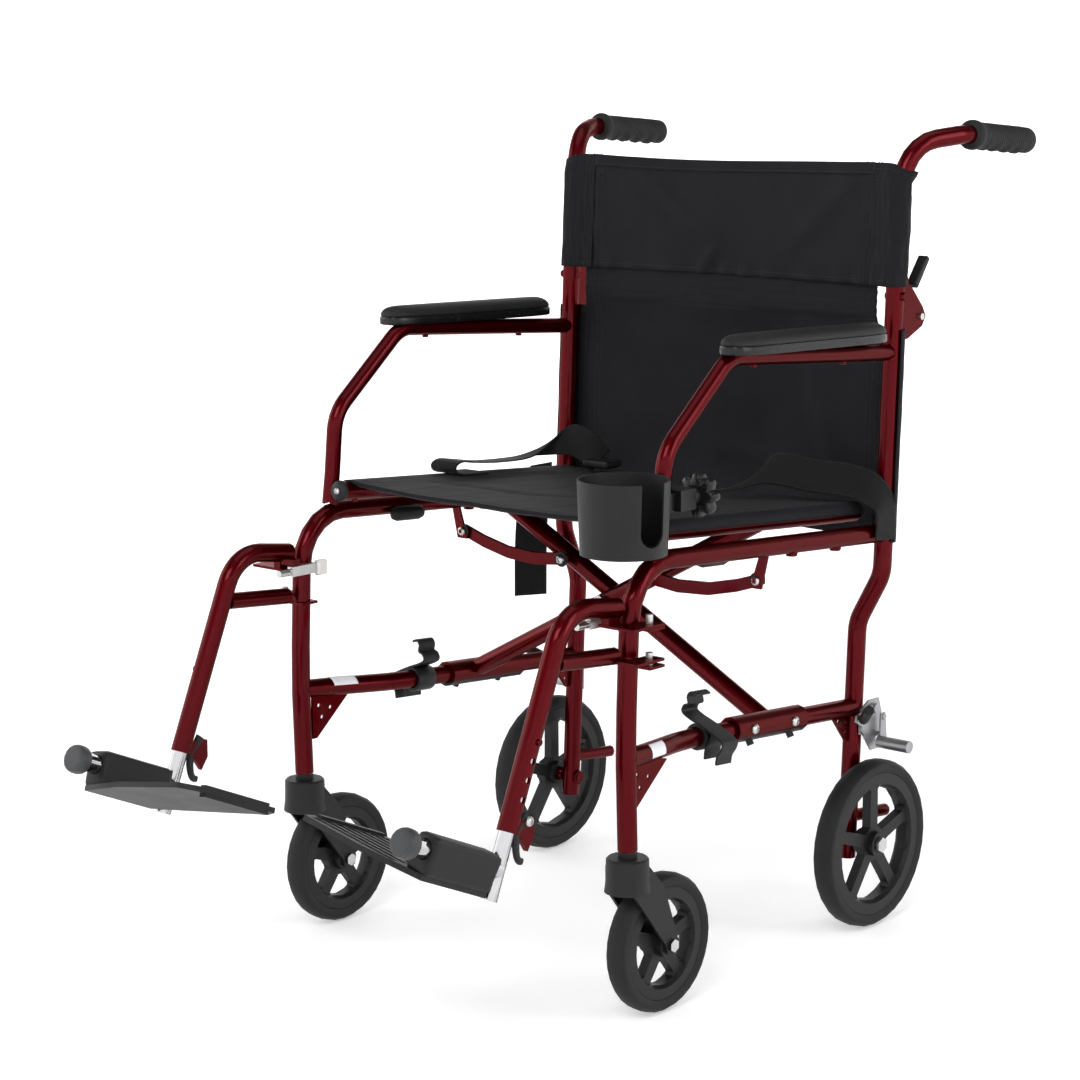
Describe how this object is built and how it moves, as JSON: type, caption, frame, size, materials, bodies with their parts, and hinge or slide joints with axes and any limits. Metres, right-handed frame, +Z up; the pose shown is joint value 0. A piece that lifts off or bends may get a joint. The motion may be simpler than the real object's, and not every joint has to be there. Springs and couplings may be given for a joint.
{
  "type": "transport wheelchair",
  "caption": "Folding transport wheelchair with cross brace, fold-down back, swing-away footrests, wheel locks, sling seat and cup holder.",
  "frame": {"origin": "floor level, middle of the overall width and length", "axes": "+Z up, +Y towards the push handles, +X towards the occupant's left"},
  "size_m": [0.6034, 1.0692, 0.9547],
  "materials": {
    "red_paint": "gloss metallic",
    "chrome": "polished",
    "zinc": "satin",
    "aluminium": "satin",
    "black_plastic": "fine grain",
    "tyre_rubber": "matt",
    "pad_foam": "fine leather grain",
    "nylon": "coated nylon weave",
    "webbing": "flat webbing"
  },
  "bodies": {
    "left_frame": {"left_side_tube": "red_paint", "left_back_post": "red_paint", "left_lower_rail": "red_paint", "left_arm_tube": "red_paint", "left_arm_pad": "pad_foam", "left_rail_clip": "black_plastic", "left_lock_plate": "aluminium", "left_belt": "webbing", "lower_back_sling": "nylon", "cup_holder": "black_plastic", "cup_clamp": "black_plastic"},
    "right_frame": {"right_side_tube": "red_paint", "right_back_post": "red_paint", "right_lower_rail": "red_paint", "right_arm_tube": "red_paint", "right_arm_pad": "pad_foam", "right_rail_clip": "black_plastic", "right_lock_plate": "aluminium", "right_belt": "webbing", "belt_buckle": "black_plastic"},
    "cross_a": {"cross_tube_a": "red_paint", "pivot_bolt": "zinc", "right_seat_rail": "red_paint"},
    "cross_b": {"cross_tube_b": "red_paint", "left_seat_rail": "red_paint", "seat_sling": "nylon"},
    "cup_knob": {"cup_knob": "black_plastic"},
    "left_link": {"left_stabiliser_link": "red_paint"},
    "left_back": {"left_push_tube": "red_paint", "left_grip": "black_plastic", "upper_back_sling": "nylon"},
    "left_back_release": {"left_back_release": "black_plastic"},
    "left_caster": {"left_caster_fork": "black_plastic"},
    "left_front_wheel": {"left_front_wheel": "black_plastic", "left_front_tyre": "tyre_rubber"},
    "left_rear_wheel": {"left_rear_wheel": "black_plastic", "left_rear_tyre": "tyre_rubber"},
    "left_hanger": {"left_footrest_hanger": "red_paint"},
    "left_footrest": {"left_footrest_tube": "chrome"},
    "left_footplate": {"left_footplate": "black_plastic"},
    "left_latch": {"left_footrest_latch": "zinc"},
    "left_lock_lever": {"left_lock_lever": "black_plastic"},
    "left_lock_shoe": {"left_lock_shoe": "aluminium"},
    "right_link": {"right_stabiliser_link": "red_paint"},
    "right_back": {"right_push_tube": "red_paint", "right_grip": "black_plastic"},
    "right_back_release": {"right_back_release": "black_plastic"},
    "right_caster": {"right_caster_fork": "black_plastic"},
    "right_front_wheel": {"right_front_wheel": "black_plastic", "right_front_tyre": "tyre_rubber"},
    "right_rear_wheel": {"right_rear_wheel": "black_plastic", "right_rear_tyre": "tyre_rubber"},
    "right_hanger": {"right_footrest_hanger": "red_paint"},
    "right_footrest": {"right_footrest_tube": "chrome"},
    "right_footplate": {"right_footplate": "black_plastic"},
    "right_latch": {"right_footrest_latch": "zinc"},
    "right_lock_lever": {"right_lock_lever": "black_plastic"},
    "right_lock_shoe": {"right_lock_shoe": "aluminium"}
  },
  "joints": [
    {"name": "fold", "type": "hinge", "parent": "left_frame", "child": "cross_a", "pos_m": [0.22, 0.1103, 0.27389], "axis": [0, 0.9974, -0.0718], "range_deg": [0, 41.8], "deforming": ["seat_sling", "lower_back_sling", "upper_back_sling", "left_belt", "right_belt"]},
    {"name": "brace_pivot", "type": "hinge", "parent": "cross_a", "child": "cross_b", "pos_m": [0, 0.0978, 0.392], "axis": [0, 0.9974, -0.0718], "range_deg": [-83.6, 0]},
    {"name": "right_side_hinge", "type": "hinge", "parent": "cross_b", "child": "right_frame", "pos_m": [-0.22, 0.0853, 0.27569], "axis": [0, 0.9974, -0.0718], "range_deg": [0, 41.8]},
    {"name": "cup_knob_turn", "type": "hinge", "parent": "left_frame", "child": "cup_knob", "pos_m": [0.2603, -0.0812, 0.5675], "axis": [0, 1, 0], "continuous": true},
    {"name": "left_link_hinge", "type": "hinge", "parent": "left_frame", "child": "left_link", "pos_m": [0.236, 0.0681, 0.45], "axis": [0, 0.9974, -0.0718], "range_deg": [0, 68.6]},
    {"name": "left_back_fold", "type": "hinge", "parent": "left_frame", "child": "left_back", "pos_m": [0.2485, 0.3528, 0.7263], "axis": [-1, 0, 0], "range_deg": [0, 165]},
    {"name": "left_back_release_lever", "type": "hinge", "parent": "left_back", "child": "left_back_release", "pos_m": [0.2485, 0.3463, 0.765], "axis": [1, 0, 0], "range_deg": [0, 15], "stiffness_Nm_per_rad": 0.1, "springref_deg": -17.19},
    {"name": "left_caster_swivel", "type": "hinge", "parent": "left_frame", "child": "left_caster", "pos_m": [0.2485, -0.1796, 0.19], "axis": [0, 0, 1], "continuous": true},
    {"name": "left_front_wheel_spin", "type": "hinge", "parent": "left_caster", "child": "left_front_wheel", "pos_m": [0.2485, -0.1265, 0.078], "axis": [1, 0, 0], "continuous": true},
    {"name": "left_rear_wheel_spin", "type": "hinge", "parent": "left_frame", "child": "left_rear_wheel", "pos_m": [0.2522, 0.2718, 0.1015], "axis": [1, 0, 0], "continuous": true},
    {"name": "left_hanger_swing", "type": "hinge", "parent": "left_frame", "child": "left_hanger", "pos_m": [0.2765, -0.1782, 0.4245], "axis": [0, 0, 1], "range_deg": [0, 105]},
    {"name": "left_footrest_height", "type": "slide", "parent": "left_hanger", "child": "left_footrest", "axis": [0, -0.3905, -0.9206], "range_m": [0, 0.061]},
    {"name": "left_footplate_flip", "type": "hinge", "parent": "left_footrest", "child": "left_footplate", "pos_m": [0.2485, -0.3885, 0.22], "axis": [0, 0.9165, -0.4], "range_deg": [0, 80]},
    {"name": "left_hanger_latch", "type": "hinge", "parent": "left_hanger", "child": "left_latch", "pos_m": [0.2255, -0.2102, 0.444], "axis": [0, 0, 1], "range_deg": [0, 20], "stiffness_Nm_per_rad": 0.1, "springref_deg": -17.19},
    {"name": "left_wheel_lock", "type": "hinge", "parent": "left_frame", "child": "left_lock_lever", "pos_m": [0.2385, 0.2976, 0.2598], "axis": [1, 0, 0], "range_deg": [0, 45]},
    {"name": "left_lock_shoe_slide", "type": "slide", "parent": "left_frame", "child": "left_lock_shoe", "axis": [0, -0.2319, -0.9727], "range_m": [0, 0.0095]},
    {"name": "right_link_hinge", "type": "hinge", "parent": "right_frame", "child": "right_link", "pos_m": [-0.236, 0.0923, 0.45], "axis": [0, -0.9974, 0.0718], "range_deg": [0, 68.6]},
    {"name": "right_back_fold", "type": "hinge", "parent": "right_frame", "child": "right_back", "pos_m": [-0.2485, 0.3528, 0.7263], "axis": [-1, 0, 0], "range_deg": [0, 165]},
    {"name": "right_back_release_lever", "type": "hinge", "parent": "right_back", "child": "right_back_release", "pos_m": [-0.2485, 0.3463, 0.765], "axis": [1, 0, 0], "range_deg": [0, 15], "stiffness_Nm_per_rad": 0.1, "springref_deg": -17.19},
    {"name": "right_caster_swivel", "type": "hinge", "parent": "right_frame", "child": "right_caster", "pos_m": [-0.2485, -0.1796, 0.19], "axis": [0, 0, 1], "continuous": true},
    {"name": "right_front_wheel_spin", "type": "hinge", "parent": "right_caster", "child": "right_front_wheel", "pos_m": [-0.2485, -0.1265, 0.078], "axis": [1, 0, 0], "continuous": true},
    {"name": "right_rear_wheel_spin", "type": "hinge", "parent": "right_frame", "child": "right_rear_wheel", "pos_m": [-0.2522, 0.2718, 0.1015], "axis": [1, 0, 0], "continuous": true},
    {"name": "right_hanger_swing", "type": "hinge", "parent": "right_frame", "child": "right_hanger", "pos_m": [-0.2765, -0.1782, 0.4245], "axis": [0, 0, -1], "range_deg": [0, 105]},
    {"name": "right_footrest_height", "type": "slide", "parent": "right_hanger", "child": "right_footrest", "axis": [0, -0.3905, -0.9206], "range_m": [0, 0.061]},
    {"name": "right_footplate_flip", "type": "hinge", "parent": "right_footrest", "child": "right_footplate", "pos_m": [-0.2485, -0.3885, 0.22], "axis": [0, -0.9165, 0.4], "range_deg": [0, 80]},
    {"name": "right_hanger_latch", "type": "hinge", "parent": "right_hanger", "child": "right_latch", "pos_m": [-0.2255, -0.2102, 0.444], "axis": [0, 0, -1], "range_deg": [0, 20], "stiffness_Nm_per_rad": 0.1, "springref_deg": -17.19},
    {"name": "right_wheel_lock", "type": "hinge", "parent": "right_frame", "child": "right_lock_lever", "pos_m": [-0.2385, 0.2976, 0.2598], "axis": [1, 0, 0], "range_deg": [0, 45]},
    {"name": "right_lock_shoe_slide", "type": "slide", "parent": "right_frame", "child": "right_lock_shoe", "axis": [0, -0.2319, -0.9727], "range_m": [0, 0.0095]}
  ],
  "couplings": [
    {"joint": "brace_pivot", "follows": "fold", "ratio": -2},
    {"joint": "right_side_hinge", "follows": "fold", "ratio": 1},
    {"joint": "left_link_hinge", "follows": "fold", "ratio": 1.64},
    {"joint": "left_footplate_flip", "follows": "fold", "ratio": 1.9},
    {"joint": "left_lock_shoe_slide", "follows": "left_wheel_lock", "m_per_rad": 0.012},
    {"joint": "right_link_hinge", "follows": "fold", "ratio": 1.64},
    {"joint": "right_footplate_flip", "follows": "fold", "ratio": 1.9},
    {"joint": "right_lock_shoe_slide", "follows": "right_wheel_lock", "m_per_rad": 0.012},
    {"joint": "right_back_fold", "follows": "left_back_fold", "ratio": 1}
  ]
}
